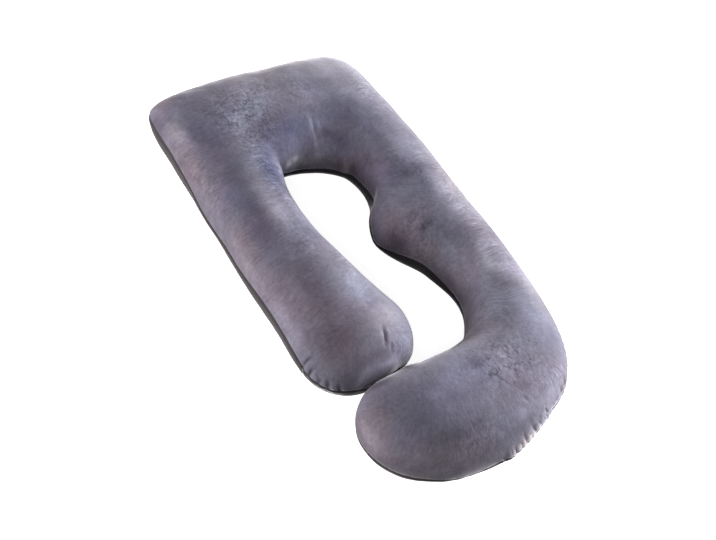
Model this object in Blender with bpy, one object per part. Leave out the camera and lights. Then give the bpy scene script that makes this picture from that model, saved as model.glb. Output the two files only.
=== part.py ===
"""G-shaped body pillow: two equal plush panels sewn together along one outline seam and stuffed.

The pillow lies on its back with its head end towards +Y, its straight side at -X and the hook of the
G across the foot end. Its middle is over the origin and its underside is on z = 0. Metres, +Z up.

The stuffed shape is one closed solid, swept through cross-sections that run along the roll: from the
end of the straight arm, up and around the neck opening, down the other arm and around the hook.
"""

from __future__ import annotations

import math
from typing import NamedTuple

import bmesh
import bpy
from mathutils import Vector

NODE_NAME = "pillow"

# The seam runs round the whole outline at this height, halfway up the stuffed roll.
SEAM_HEIGHT = 0.089
# How far the lower panel would hang below the seam if the surface did not press it flat.
UNDER_DEPTH = 0.099
# How full the two panels are across the roll: 2 is an ellipse, more is nearer to a box.
TOP_FULLNESS = 2.15
UNDER_FULLNESS = 2.55

# Each panel has this many strips of faces across the roll, and each stretch between two rows of
# SECTIONS and each rounded end this many along it.
STRIPS_ACROSS = 14
STRIPS_PER_ROW = 4
STRIPS_PER_END = 9

# The square corners show only near the seam: further in, the lines that run along the roll are
# evened out this many times, each time by up to this share.
EVENING_ROUNDS = 40
EVENING_SHARE = 0.5

CLOTH_COLOUR = (0.150, 0.142, 0.185, 1.0)
CLOTH_ROUGHNESS = 0.9


class Section(NamedTuple):
    """One cross-section of the roll, from the outside of the G to its hollow.

    crown is the height of the top panel above the seam. crown_at is where it peaks, from 0 at the
    outer seam to 1 at the inner seam.
    """

    outer_x: float
    outer_y: float
    inner_x: float
    inner_y: float
    crown: float
    crown_at: float


class RoundedEnd(NamedTuple):
    """How one end of the roll closes beyond its last section.

    reach is how far it goes on, fullness is the shape of its outline, as for the panels, and
    lean_deg turns it towards the inner seam.
    """

    reach: float
    fullness: float
    lean_deg: float


SECTIONS = (
    # straight arm, from its free end to the head end
    Section(-0.333, -0.213, -0.042, -0.213, 0.098, 0.50),
    Section(-0.334, 0.009, -0.102, -0.002, 0.100, 0.50),
    Section(-0.331, 0.142, -0.123, 0.129, 0.100, 0.50),
    Section(-0.331, 0.284, -0.115, 0.205, 0.100, 0.52),
    Section(-0.331, 0.416, -0.115, 0.258, 0.100, 0.57),
    # head end, round the neck opening from one square corner to the other
    Section(-0.329, 0.582, -0.095, 0.298, 0.093, 0.69),
    Section(-0.305, 0.622, -0.082, 0.306, 0.091, 0.74),
    Section(-0.252, 0.637, -0.064, 0.310, 0.096, 0.76),
    Section(-0.152, 0.648, -0.041, 0.311, 0.100, 0.76),
    Section(-0.021, 0.650, -0.010, 0.310, 0.102, 0.74),
    Section(0.211, 0.643, 0.041, 0.288, 0.098, 0.70),
    Section(0.276, 0.632, 0.063, 0.273, 0.094, 0.68),
    Section(0.303, 0.609, 0.082, 0.259, 0.094, 0.66),
    Section(0.316, 0.556, 0.095, 0.243, 0.098, 0.60),
    # long arm, with the belly bump on its inner side
    Section(0.322, 0.464, 0.114, 0.223, 0.100, 0.54),
    Section(0.333, 0.263, 0.117, 0.136, 0.100, 0.47),
    Section(0.334, 0.172, 0.073, 0.086, 0.100, 0.45),
    Section(0.334, 0.081, 0.047, 0.038, 0.100, 0.45),
    Section(0.335, -0.011, 0.043, -0.011, 0.100, 0.45),
    Section(0.331, -0.172, 0.106, -0.102, 0.100, 0.46),
    # hook, round to its tip
    Section(0.322, -0.253, 0.156, -0.172, 0.100, 0.48),
    Section(0.311, -0.341, 0.153, -0.243, 0.102, 0.50),
    Section(0.303, -0.436, 0.126, -0.294, 0.104, 0.50),
    Section(0.269, -0.525, 0.091, -0.334, 0.106, 0.50),
    Section(0.193, -0.591, 0.049, -0.353, 0.108, 0.50),
    Section(0.092, -0.625, -0.010, -0.358, 0.108, 0.50),
    Section(-0.022, -0.649, -0.079, -0.350, 0.106, 0.50),
    Section(-0.117, -0.635, -0.143, -0.348, 0.102, 0.50),
)
ARM_END = RoundedEnd(reach=0.131, fullness=2.5, lean_deg=2.0)
HOOK_TIP = RoundedEnd(reach=0.172, fullness=2.05, lean_deg=13.0)


def clear_scene() -> None:
    """Remove every object of the open file."""
    for item in list(bpy.data.objects):
        bpy.data.objects.remove(item, do_unlink=True)


def full_curve(across: float, fullness: float) -> float:
    """Height of a full, round-shouldered curve of height 1, with across from -1 to 1."""
    return max(1.0 - abs(across) ** fullness, 0.0) ** (1.0 / fullness)


def smooth_between(rows: tuple[Section, ...], place: float) -> Section:
    """The section at place along the rows, on a Catmull-Rom curve through all of them."""
    first = min(int(place), len(rows) - 2)
    part = place - first
    before = rows[first - 1] if first > 0 else None
    after = rows[first + 2] if first + 2 < len(rows) else None
    values = []
    for column, (near, far) in enumerate(zip(rows[first], rows[first + 1])):
        lead = before[column] if before else 2.0 * near - far
        trail = after[column] if after else 2.0 * far - near
        slope_near = (far - lead) / 2.0
        slope_far = (trail - near) / 2.0
        bend = 3.0 * (far - near) - 2.0 * slope_near - slope_far
        twist = 2.0 * (near - far) + slope_near + slope_far
        values.append(near + slope_near * part + bend * part**2 + twist * part**3)
    return Section(*values)


def ring(section: Section, under_depth: float) -> list[Vector]:
    """The points round one cross-section: over the top panel, and back along the underside."""
    outer = Vector((section.outer_x, section.outer_y))
    inner = Vector((section.inner_x, section.inner_y))
    over = []
    under = []
    for strip in range(STRIPS_ACROSS + 1):
        across = -math.cos(math.pi * strip / STRIPS_ACROSS)
        half_width = section.crown_at if across < 0.0 else 1.0 - section.crown_at
        flat = outer.lerp(inner, section.crown_at + across * half_width)
        top = SEAM_HEIGHT + section.crown * full_curve(across, TOP_FULLNESS)
        bottom = max(SEAM_HEIGHT - under_depth * full_curve(across, UNDER_FULLNESS), 0.0)
        over.append(Vector((flat.x, flat.y, top)))
        under.append(Vector((flat.x, flat.y, bottom)))
    return over + under[-2:0:-1]


def end_rings(section: Section, ahead: Vector, end: RoundedEnd) -> list[list[Vector]]:
    """The shrinking rings that close the roll beyond its last section, in the direction ahead."""
    outer = Vector((section.outer_x, section.outer_y))
    inner = Vector((section.inner_x, section.inner_y))
    middle = (outer + inner) / 2.0
    half = (outer - inner) / 2.0
    onward = Vector((-half.y, half.x)).normalized()
    if onward.dot(ahead) < 0.0:
        onward.negate()
    onward -= half.normalized() * math.tan(math.radians(end.lean_deg))
    rings = []
    for strip in range(1, STRIPS_PER_END):
        turn = math.pi / 2.0 * strip / STRIPS_PER_END
        narrow = math.cos(turn) ** (2.0 / end.fullness)
        centre = middle + onward * end.reach * math.sin(turn) ** (2.0 / end.fullness)
        left = centre + half * narrow
        right = centre - half * narrow
        smaller = Section(*left, *right, section.crown * narrow, section.crown_at)
        rings.append(ring(smaller, UNDER_DEPTH * narrow**0.6))
    tip = middle + onward * end.reach
    rings.append([Vector((tip.x, tip.y, SEAM_HEIGHT))])
    return rings


def evened_out(rings: list[list[Vector]]) -> list[list[Vector]]:
    """The same rings, with each line along the roll drawn smoother the further it is from a seam."""
    for _ in range(EVENING_ROUNDS):
        evened = [rings[0]]
        for before, here, after in zip(rings, rings[1:], rings[2:]):
            moved = []
            for corner, point in enumerate(here):
                softness = math.sin(math.pi * corner / STRIPS_ACROSS) ** 2
                middle = (before[corner] + after[corner]) / 2.0
                middle.z = point.z
                moved.append(point.lerp(middle, EVENING_SHARE * softness))
            evened.append(moved)
        rings = evened + [rings[-1]]
    return rings


def roll_rings() -> list[list[Vector]]:
    """Every ring of the pillow in order, with a single point at each end."""
    steps = (len(SECTIONS) - 1) * STRIPS_PER_ROW
    sections = [smooth_between(SECTIONS, step / STRIPS_PER_ROW) for step in range(steps + 1)]
    middles = [
        Vector((row.outer_x + row.inner_x, row.outer_y + row.inner_y)) / 2.0 for row in sections
    ]
    arm_end = end_rings(sections[0], middles[0] - middles[1], ARM_END)
    hook_tip = end_rings(sections[-1], middles[-1] - middles[-2], HOOK_TIP)
    body = evened_out([ring(row, UNDER_DEPTH) for row in sections])
    return arm_end[::-1] + body + hook_tip


def make_cloth() -> bpy.types.Material:
    """The grey plush of both panels."""
    material = bpy.data.materials.new("grey_plush")
    material.use_nodes = True
    shader = material.node_tree.nodes["Principled BSDF"]
    shader.inputs["Base Color"].default_value = CLOTH_COLOUR
    shader.inputs["Roughness"].default_value = CLOTH_ROUGHNESS
    shader.inputs["Metallic"].default_value = 0.0
    return material


def make_pillow() -> bpy.types.Object:
    """Join the rings into one closed solid and give it its cloth."""
    shape = bmesh.new()
    rings = [[shape.verts.new(point) for point in points] for points in roll_rings()]
    for near, far in zip(rings, rings[1:]):
        count = max(len(near), len(far))
        for corner in range(count):
            following = (corner + 1) % count
            if len(near) == 1:
                shape.faces.new((near[0], far[corner], far[following]))
            elif len(far) == 1:
                shape.faces.new((near[corner], far[0], near[following]))
            else:
                shape.faces.new((near[corner], far[corner], far[following], near[following]))
    bmesh.ops.recalc_face_normals(shape, faces=shape.faces)
    mesh = bpy.data.meshes.new(NODE_NAME)
    shape.to_mesh(mesh)
    shape.free()
    mesh.shade_smooth()
    mesh.materials.append(make_cloth())
    pillow = bpy.data.objects.new(NODE_NAME, mesh)
    bpy.context.collection.objects.link(pillow)
    return pillow


def main() -> None:
    """Build the pillow in an empty scene."""
    clear_scene()
    make_pillow()


main()
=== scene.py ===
"""Finished look of the G-shaped body pillow: stuffed plush cover, outline seam, puckers and laid nap.

The pillow lies on its back on a pale floor, head end towards +Y, straight arm at -X. Metres, +Z up.
"""

from __future__ import annotations

import logging
import math
import random
from dataclasses import dataclass, field
from enum import Enum

import bmesh
import bpy
import numpy as np
from mathutils import Matrix, Vector, kdtree, noise
from mathutils.bvhtree import BVHTree

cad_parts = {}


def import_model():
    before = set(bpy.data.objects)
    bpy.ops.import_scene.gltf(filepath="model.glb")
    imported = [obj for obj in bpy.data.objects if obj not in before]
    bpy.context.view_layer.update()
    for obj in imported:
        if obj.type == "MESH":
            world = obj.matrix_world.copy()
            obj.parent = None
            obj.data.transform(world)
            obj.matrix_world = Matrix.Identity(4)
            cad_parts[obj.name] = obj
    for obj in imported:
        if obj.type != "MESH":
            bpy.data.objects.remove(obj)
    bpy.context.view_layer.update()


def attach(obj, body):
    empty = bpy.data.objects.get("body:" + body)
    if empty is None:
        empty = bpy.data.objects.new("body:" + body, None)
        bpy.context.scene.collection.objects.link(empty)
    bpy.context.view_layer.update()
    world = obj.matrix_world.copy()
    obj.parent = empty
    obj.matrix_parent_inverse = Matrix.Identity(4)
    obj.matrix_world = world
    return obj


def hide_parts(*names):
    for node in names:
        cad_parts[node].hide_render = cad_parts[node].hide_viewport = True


LOG = logging.getLogger("body_pillow")
BODY = "root"
WHITE = (1.0, 1.0, 1.0, 1.0)
MM_PER_M = 1000.0
# Keeps a division away from zero.
TINY = 1e-9

Pair = tuple[float, float]
Triple = tuple[float, float, float]
Socket = bpy.types.NodeSocket
Sockets = dict[int | str, object]


class Panel(Enum):
    """The two panels of the cover."""

    TOP = "top"
    UNDER = "under"
    BOTH = "both"


@dataclass
class Outlook:
    """The camera, by its place and its three angles."""

    place: Triple = (-1.0747, -0.8809, 1.7931)
    heading_deg: float = -50.9
    down_deg: float = 52.6
    roll_deg: float = 22.0
    lens_mm: float = 42.5
    sensor_mm: float = 36.0

    def build(self) -> bpy.types.Object:
        """Make the camera and hand it to the scene.

        Returns:
            The camera object.
        """
        data = bpy.data.cameras.new("camera")
        data.lens = self.lens_mm
        data.sensor_width = self.sensor_mm
        camera = bpy.data.objects.new("camera", data)
        turn = Matrix.Rotation(math.radians(self.heading_deg), 4, "Z")
        tip = Matrix.Rotation(math.radians(90.0 - self.down_deg), 4, "X")
        roll = Matrix.Rotation(math.radians(self.roll_deg), 4, "Z")
        camera.matrix_world = Matrix.Translation(self.place) @ turn @ tip @ roll
        bpy.context.collection.objects.link(camera)
        bpy.context.scene.camera = camera
        return camera


class Wiring:
    """Short ways to lay the nodes of one material."""

    def __init__(self, tree: bpy.types.NodeTree) -> None:
        """Keep the node tree, with the object coordinates in it."""
        self.tree = tree
        self.place = self.lay("ShaderNodeTexCoord", {}, "Object")

    def lay(self, kind: str, sockets: Sockets, out: int | str = 0, **values: object) -> Socket:
        """Add a node and feed it.

        Args:
            kind: The node's class name.
            sockets: What goes into its inputs, by name or number: an output, a number or a tuple.
            out: Which of its outputs to take.
            **values: Attributes of the node to set.

        Returns:
            The output.
        """
        item = self.tree.nodes.new(kind)
        for name, value in values.items():
            setattr(item, name, value)
        self.feed(item, sockets)
        return item.outputs[out]

    def feed(self, item: bpy.types.Node, sockets: Sockets) -> None:
        """Link outputs into a node's inputs, or set plain values on them.

        Args:
            item: The node.
            sockets: What goes into its inputs.
        """
        for name, value in sockets.items():
            if isinstance(value, Socket):
                self.tree.links.new(value, item.inputs[name])
            else:
                item.inputs[name].default_value = value

    def math(self, kind: str, *values: object) -> Socket:
        """The result of one sum on numbers."""
        return self.lay("ShaderNodeMath", dict(enumerate(values)), operation=kind)

    def vector(self, kind: str, *values: object) -> Socket:
        """The result of one sum on vectors or colours."""
        return self.lay("ShaderNodeVectorMath", dict(enumerate(values)), operation=kind)

    def joined(self, *values: object) -> Socket:
        """A vector made from two or three numbers."""
        return self.lay("ShaderNodeCombineXYZ", dict(enumerate(values)))

    def kept(self, name: str) -> Socket:
        """A named attribute of the mesh, as a number."""
        return self.lay("ShaderNodeAttribute", {}, "Fac", attribute_name=name)

    def doublings(self, value: object) -> Socket:
        """What a number of doublings multiplies by."""
        return self.math("POWER", 2.0, value)

    def centred(self, value: object, share: object, middle: float = 0.5) -> Socket:
        """A number with its middle taken off, times a share."""
        return self.math("MULTIPLY", self.math("SUBTRACT", value, middle), share)

    def spread(self, value: object, ends: Pair, to_ends: Pair = (0.0, 1.0)) -> Socket:
        """A number with one range of it mapped onto another, with soft ends."""
        sockets = dict(enumerate((value, *ends, *to_ends)))
        return self.lay("ShaderNodeMapRange", sockets, interpolation_type="SMOOTHSTEP")

    def blend(self, share: object, first: object, second: object, kind: str = "MIX") -> Socket:
        """Two colours mixed, with the second one's share."""
        sockets = {"Factor": share, 6: first, 7: second}
        return self.lay("ShaderNodeMix", sockets, 2, data_type="RGBA", blend_type=kind)

    def cloud(
        self, where: object, scale: float, detail: float = 2.0, rough: float = 0.5, bend: float = 0.0
    ) -> Socket:
        """A noise around 0.5, with its octaves, the strength of the finer ones and its bend."""
        sockets = {"Vector": where, "Scale": scale, "Detail": detail}
        return self.lay("ShaderNodeTexNoise", sockets | {"Roughness": rough, "Distortion": bend})

    def streaks(self, along: object, off: object, fineness: Pair, **looks: float) -> Socket:
        """A noise drawn out away from the seam, with its fineness along and off the seam."""
        sides = (self.math("MULTIPLY", value, by) for value, by in zip((along, off), fineness))
        return self.cloud(self.joined(*sides), 1.0, **looks)

    def turned(self, where: object, turn_deg: float, scale: Triple) -> Socket:
        """Coordinates scaled and then turned about Z."""
        turn = (0.0, 0.0, math.radians(turn_deg))
        return self.lay("ShaderNodeMapping", {"Vector": where, "Rotation": turn, "Scale": scale})


@dataclass(frozen=True)
class Softbox:
    """One broad soft lamp, by where it stands round the pillow."""

    name: str
    round_deg: float
    up_deg: float
    power: float
    colour: Triple = (1.0, 1.0, 1.0)
    away: float = 3.2
    size: float = 1.8
    aim: Triple = (0.0, 0.0, 0.1)

    def build(self) -> None:
        """Make the lamp, turned to the middle of the pillow."""
        lamp = bpy.data.lights.new(self.name, "AREA")
        lamp.shape = "DISK"
        lamp.size = self.size
        lamp.energy = self.power
        lamp.color = self.colour
        box = bpy.data.objects.new(self.name, lamp)
        turn, lift = math.radians(self.round_deg), math.radians(self.up_deg)
        middle, level = Vector(self.aim), math.cos(lift)
        towards = Vector((level * math.cos(turn), level * math.sin(turn), math.sin(lift)))
        place = middle + self.away * towards
        facing = (middle - place).to_track_quat("-Z", "Y").to_matrix().to_4x4()
        box.matrix_world = Matrix.Translation(place) @ facing
        bpy.context.collection.objects.link(box)


@dataclass
class Studio:
    """A pale floor, four broad soft lamps and a faint even sky."""

    floor_tone: float = 0.85
    floor_glow: float = 0.92
    floor_roughness: float = 0.9
    floor_half: float = 6.0
    sky_power: float = 0.03
    lamps: tuple[Softbox, ...] = (
        Softbox("key", -8.0, 8.0, 370.0),
        Softbox("side", 330.0, 20.0, 160.0),
        Softbox("fill", 153.0, 9.0, 165.0, (1.0, 0.93, 0.90)),
        Softbox("foot", 218.0, 36.0, 42.0, (1.0, 0.94, 0.92)),
    )

    def build(self) -> None:
        """Make the floor, the lamps and the sky."""
        self.lay_floor()
        for lamp in self.lamps:
            lamp.build()
        sky = bpy.data.worlds.new("sky")
        sky.use_nodes = True
        light = sky.node_tree.nodes["Background"]
        light.inputs["Color"].default_value = WHITE
        light.inputs["Strength"].default_value = self.sky_power
        bpy.context.scene.world = sky
        bpy.context.scene.view_settings.view_transform = "Standard"

    def lay_floor(self) -> None:
        """Make the pale floor. It glows, but throws no light back at the pillow."""
        mesh = bpy.data.meshes.new("floor")
        half = self.floor_half
        corners = [(-half, -half, 0.0), (half, -half, 0.0), (half, half, 0.0), (-half, half, 0.0)]
        mesh.from_pydata(corners, [], [(0, 1, 2, 3)])
        floor = bpy.data.objects.new("floor", mesh)
        paint = bpy.data.materials.new("floor_paint")
        paint.use_nodes = True
        shader = paint.node_tree.nodes["Principled BSDF"]
        shader.inputs["Base Color"].default_value = (self.floor_tone,) * 3 + (1.0,)
        shader.inputs["Roughness"].default_value = self.floor_roughness
        shader.inputs["Specular IOR Level"].default_value = 0.0
        shader.inputs["Emission Color"].default_value = WHITE
        shader.inputs["Emission Strength"].default_value = self.floor_glow
        mesh.materials.append(paint)
        floor.visible_diffuse = False
        floor.visible_glossy = False
        bpy.context.collection.objects.link(floor)


@dataclass(frozen=True)
class Crackle:
    """The thin dark lines left where pressed pile parts: cell edges broken into runs, and dashes."""

    waver: float = 0.022
    waver_scale: float = 60.0
    turn_deg: float = -14.0
    stretch: Triple = (1.0, 0.42, 1.0)
    cells_scale: float = 62.0
    cell_edge: Pair = (0.01, 0.10)
    runs_scale: float = 48.0
    run_edge: Pair = (0.47, 0.58)
    dash_turn_deg: float = 24.0
    dash_fineness: Triple = (230.0, 60.0, 60.0)
    dash_edge: Pair = (0.28, 0.40)

    def build(self, wiring: Wiring) -> Socket:
        """Lay the lines.

        Args:
            wiring: The material's wiring.

        Returns:
            Their strength, 0 to 1.
        """
        noisy = {"Vector": wiring.place, "Scale": self.waver_scale}
        waver = wiring.lay("ShaderNodeTexNoise", noisy, "Color")
        bent = wiring.vector("MULTIPLY_ADD", waver, (self.waver,) * 3, wiring.place)
        cells = {"Vector": wiring.turned(bent, self.turn_deg, self.stretch), "Scale": self.cells_scale}
        edges = wiring.lay("ShaderNodeTexVoronoi", cells, feature="DISTANCE_TO_EDGE")
        lines = wiring.spread(edges, self.cell_edge, (1.0, 0.0))
        runs = wiring.spread(wiring.cloud(wiring.place, self.runs_scale), self.run_edge)
        slanted = wiring.turned(bent, self.dash_turn_deg, self.dash_fineness)
        dashes = wiring.spread(wiring.cloud(slanted, 1.0, detail=1.0), self.dash_edge, (1.0, 0.0))
        return wiring.math("MAXIMUM", wiring.math("MULTIPLY", lines, runs), dashes)


@dataclass(frozen=True)
class Pile:
    """The fine relief of the pile: fuzz over small tufts."""

    strength: float = 0.35
    height: float = 0.0012
    fuzz_scale: float = 700.0
    fuzz_rough: float = 0.6
    fuzz_share: float = 0.5
    tuft_scale: float = 170.0

    def build(self, wiring: Wiring) -> Socket:
        """Lay the relief.

        Args:
            wiring: The material's wiring.

        Returns:
            The bent normal.
        """
        fuzz = wiring.cloud(wiring.place, self.fuzz_scale, rough=self.fuzz_rough)
        tuft = wiring.cloud(wiring.place, self.tuft_scale)
        relief = wiring.math("ADD", wiring.math("MULTIPLY", fuzz, self.fuzz_share), tuft)
        sockets = {"Strength": self.strength, "Distance": self.height, "Height": relief}
        return wiring.lay("ShaderNodeBump", sockets)


@dataclass(frozen=True)
class Plush:
    """Short velvet pile, laid this way and that, over a plain under panel whose darker colour is
    painted shade.

    The shares are how strong each layer of the nap's tone is, in doublings of the middle colour.
    """

    name: str = "velvet_plush"
    middle: Triple = (0.1105, 0.1047, 0.1415)
    warm: Triple = (1.035, 0.985, 0.99)
    cool: Triple = (0.965, 1.00, 1.03)
    tint_scale: float = 7.0
    tint_edge: Pair = (0.35, 0.65)
    hue_split: float = 0.5
    green_drift: float = 0.22
    green_scale: float = 12.0
    green_lift: float = 0.09
    green_by_hue: float = 0.12
    # The under panel's colour is darker than the top's: painted shade for the underside, which turns
    # away from the light.
    under: Triple = (0.046, 0.044, 0.047)
    under_mottle: float = 0.8
    under_scale: float = 90.0
    # Doublings of painted shade on the under panel in the hollow and under the arm's end.
    shaded: float = 0.9
    roughness: float = 0.85
    specular: float = 0.15
    sheen: float = 0.90
    sheen_roughness: float = 0.32
    sheen_tint: Triple = (0.93, 0.91, 1.0)
    soft_share: float = 0.7
    clump_share: float = 0.45
    fine_share: float = 1.15
    brush_share: float = 1.4
    hair_share: float = 2.3
    stroke_share: float = 0.5
    crackle_share: float = 1.1
    # Painted shade along the seam and in the pinches of the puckers.
    seam_shade_share: float = 1.1
    # Painted shade in the hollows of the folds and painted highlight on their bumps.
    fold_shade_share: float = 0.5
    fold_shade_limit: float = 0.8
    soft_scale: float = 16.0
    clump_scale: float = 42.0
    fine_scale: float = 110.0
    brush_fineness: Pair = (150.0, 26.0)
    hair_fineness: Pair = (330.0, 55.0)
    stroke_fineness: Pair = (210.0, 32.0)
    pale_stroke: Pair = (0.56, 0.70)
    dark_stroke: Pair = (0.30, 0.44)
    sway: float = 0.035
    sway_scale: float = 14.0
    when_crushed: Pair = (0.7, 2.0)
    when_stroked: Pair = (0.35, 1.3)
    crackle: Crackle = Crackle()
    pile: Pile = Pile()

    def build(self) -> bpy.types.Material:
        """Make the node material.

        Returns:
            The material.
        """
        material = bpy.data.materials.new(self.name)
        material.use_nodes = True
        wiring = Wiring(material.node_tree)
        shader = material.node_tree.nodes["Principled BSDF"]
        shader.inputs["Roughness"].default_value = self.roughness
        shader.inputs["Sheen Weight"].default_value = self.sheen
        shader.inputs["Sheen Roughness"].default_value = self.sheen_roughness
        shader.inputs["Sheen Tint"].default_value = (*self.sheen_tint, 1.0)
        shader.inputs["Specular IOR Level"].default_value = self.specular
        under_share = wiring.kept("under_panel")
        cloth = wiring.blend(under_share, self.top_colour(wiring), self.under_colour(wiring))
        wiring.feed(shader, {"Base Color": cloth, "Normal": self.pile.build(wiring)})
        return material

    def top_colour(self, wiring: Wiring) -> Socket:
        """The colour of the top panel: the nap's tone, with its hue split between red and blue.

        Args:
            wiring: The material's wiring.

        Returns:
            The colour.
        """
        drift = wiring.cloud(wiring.place, self.tint_scale, detail=1.0)
        tint = wiring.blend(wiring.spread(drift, self.tint_edge), (*self.cool, 1.0), (*self.warm, 1.0))
        cloth = wiring.blend(1.0, (*self.middle, 1.0), tint, "MULTIPLY")
        tone, hue = self.tone(wiring), wiring.kept("nap_hue")
        lit = wiring.vector("MULTIPLY", cloth, wiring.doublings(tone))
        green = wiring.centred(wiring.cloud(wiring.place, self.green_scale), self.green_drift)
        green = wiring.math("ADD", green, wiring.math("MULTIPLY", tone, self.green_lift))
        green = wiring.math("SUBTRACT", green, wiring.math("MULTIPLY", hue, self.green_by_hue))
        red = wiring.math("MULTIPLY", hue, -self.hue_split)
        blue = wiring.math("MULTIPLY", hue, self.hue_split)
        split = wiring.joined(*(wiring.doublings(shift) for shift in (red, green, blue)))
        return wiring.vector("MULTIPLY", lit, split)

    def under_colour(self, wiring: Wiring) -> Socket:
        """The colour of the under panel: a darker colour that is painted shade, darker still where it
        is turned away from the light, with painted shade in the hollow, under the arm's end and along
        the seam.

        Args:
            wiring: The material's wiring.

        Returns:
            The colour.
        """
        mottle = wiring.centred(wiring.cloud(wiring.place, self.under_scale), self.under_mottle)
        # Painted shade: in the hollow, under the arm's end, and along the seam and its pinches.
        inside = wiring.math("MULTIPLY", wiring.kept("inside"), self.shaded)
        shade = wiring.math("ADD", inside, wiring.kept("seam_shade"))
        tone = wiring.math("SUBTRACT", mottle, shade)
        return wiring.vector("MULTIPLY", self.under, wiring.doublings(tone))

    def tone(self, wiring: Wiring) -> Socket:
        """How light the top panel is: the patches' tone, which is the laid nap with painted shade and
        painted highlights, and over it the layers, painted shade along the seam and in the pinches,
        and painted shade and highlight from the folds.

        Args:
            wiring: The material's wiring.

        Returns:
            The tone, in doublings of the middle colour.
        """
        place = wiring.place
        sway = wiring.centred(wiring.cloud(place, self.sway_scale, detail=1.0), self.sway)
        along, off = wiring.math("ADD", wiring.kept("seam_along"), sway), wiring.kept("seam_off")
        stroked, crushed = wiring.kept("stroked"), wiring.kept("crushed")
        brushed = wiring.spread(stroked, (0.0, 1.0), self.when_stroked)
        pressed = wiring.spread(crushed, (0.0, 1.0), self.when_crushed)
        soft = wiring.cloud(place, self.soft_scale, detail=3.0, rough=0.55, bend=0.4)
        clump = wiring.cloud(place, self.clump_scale, bend=0.8)
        fine = wiring.cloud(place, self.fine_scale, detail=3.0, rough=0.6)
        brush = wiring.streaks(along, off, self.brush_fineness, rough=0.55, bend=0.5)
        hair = wiring.streaks(along, off, self.hair_fineness, rough=0.55, bend=0.8)
        lines = wiring.streaks(along, off, self.stroke_fineness, detail=1.0, bend=1.2)
        layers = (
            (soft, 0.5, self.soft_share, 1.0),
            (clump, 0.5, self.clump_share, 1.0),
            (fine, 0.5, self.fine_share, pressed),
            (brush, 0.5, self.brush_share, brushed),
            (hair, 0.5, self.hair_share, brushed),
            (wiring.spread(lines, self.pale_stroke), 0.0, self.stroke_share, stroked),
            (wiring.spread(lines, self.dark_stroke, (1.0, 0.0)), 0.0, -self.stroke_share, stroked),
            (self.crackle.build(wiring), 0.0, -self.crackle_share, crushed),
        )
        # The patches: the laid nap, with painted shade and painted highlights.
        total = wiring.kept("nap")
        for layer, middle, share, mask in layers:
            layer = wiring.centred(layer, share, middle)
            total = wiring.math("ADD", total, wiring.math("MULTIPLY", layer, mask))
        # Painted shade along the seam and in the pinches of the puckers.
        seam = wiring.math("MULTIPLY", wiring.kept("seam_shade"), self.seam_shade_share)
        total = wiring.math("SUBTRACT", total, seam)
        # Painted shade in the hollows of the folds and painted highlight on their bumps.
        fold = wiring.math("MINIMUM", wiring.kept("fold"), self.fold_shade_limit)
        fold = wiring.math("MAXIMUM", fold, -2.0 * self.fold_shade_limit)
        return wiring.math("ADD", total, wiring.math("MULTIPLY", fold, self.fold_shade_share))


@dataclass(frozen=True)
class Gather:
    """A run of small puckers where the cloth is eased into the seam.

    spacing, depth and reach are those of its puckers, lean is how far they tilt along the seam, and
    slack is its share of spare cloth.
    """

    start: Pair
    end: Pair
    spacing: float
    depth: float
    reach: float
    slack: float = 0.3
    lean: float = 0.0
    panel: Panel = Panel.BOTH


@dataclass(frozen=True)
class Crease:
    """A soft trough in the cloth along a line in plan; a negative depth is a ridge."""

    line: tuple[Pair, ...]
    depth: float
    width: float
    panel: Panel = Panel.TOP


@dataclass(frozen=True)
class Patch:
    """Where the top panel is made lighter or darker, bluer or warmer: partly where a hand has laid the
    nap, partly painted shade, painted shadow and painted highlights.

    A patch on the side of the roll has a height and how far it goes up and down from there.
    """

    at: Pair
    size: Pair
    turn_deg: float
    tone: float
    hue: float = 0.0
    height: float = 0.1
    tall: float = 1.0


@dataclass(frozen=True)
class Ruffle:
    """Where the pile is stroked across the roll, and where it is crushed so that it parts."""

    at: Pair
    size: Pair
    stroked: float
    crushed: float


@dataclass(frozen=True)
class Nudge:
    """A small shift of the whole roll at one place, in plan."""

    at: Pair
    size: Pair
    move: Pair


@dataclass(frozen=True)
class SeamRest:
    """How far the seam lies below the roll's fullest line at one place; less than 0 is above it."""

    at: Pair
    below: float


GATHERS = tuple(Gather(*row) for row in (
    ((0.318, -0.395), (0.268, -0.520), 0.020, 0.0016, 0.022, 0.5),
    ((0.268, -0.520), (0.205, -0.585), 0.014, 0.0014, 0.034, 0.8, 0.2, Panel.TOP),
    ((0.230, -0.560), (0.130, -0.607), 0.024, 0.0050, 0.014, 1.0, 0.1),
    ((0.130, -0.607), (-0.040, -0.648), 0.0175, 0.0120, 0.015, 1.0, 0.1),
    ((-0.010, -0.652), (-0.200, -0.600), 0.052, 0.0018, 0.018, 0.3),
    ((-0.330, -0.235), (-0.265, -0.322), 0.023, 0.0056, 0.015, 1.0, 0.1),
    ((-0.265, -0.322), (-0.190, -0.345), 0.020, 0.0034, 0.009, 0.8, 0.1),
    ((-0.190, -0.345), (-0.130, -0.342), 0.020, 0.0020, 0.014, 0.6),
    ((-0.120, -0.340), (-0.046, -0.262), 0.014, 0.0024, 0.020, 0.8, -0.2),
    ((-0.332, 0.575), (-0.265, 0.636), 0.018, 0.0008, 0.012, 0.05),
    ((0.235, 0.640), (0.312, 0.560), 0.026, 0.0004, 0.012, 0.02),
    ((-0.265, 0.636), (0.235, 0.640), 0.090, 0.0004, 0.016, 0.02),
    ((-0.333, 0.540), (-0.333, -0.200), 0.090, 0.0010, 0.024, 0.12),
    ((0.320, 0.520), (0.326, -0.380), 0.060, 0.0008, 0.024, 0.06),
))

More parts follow.
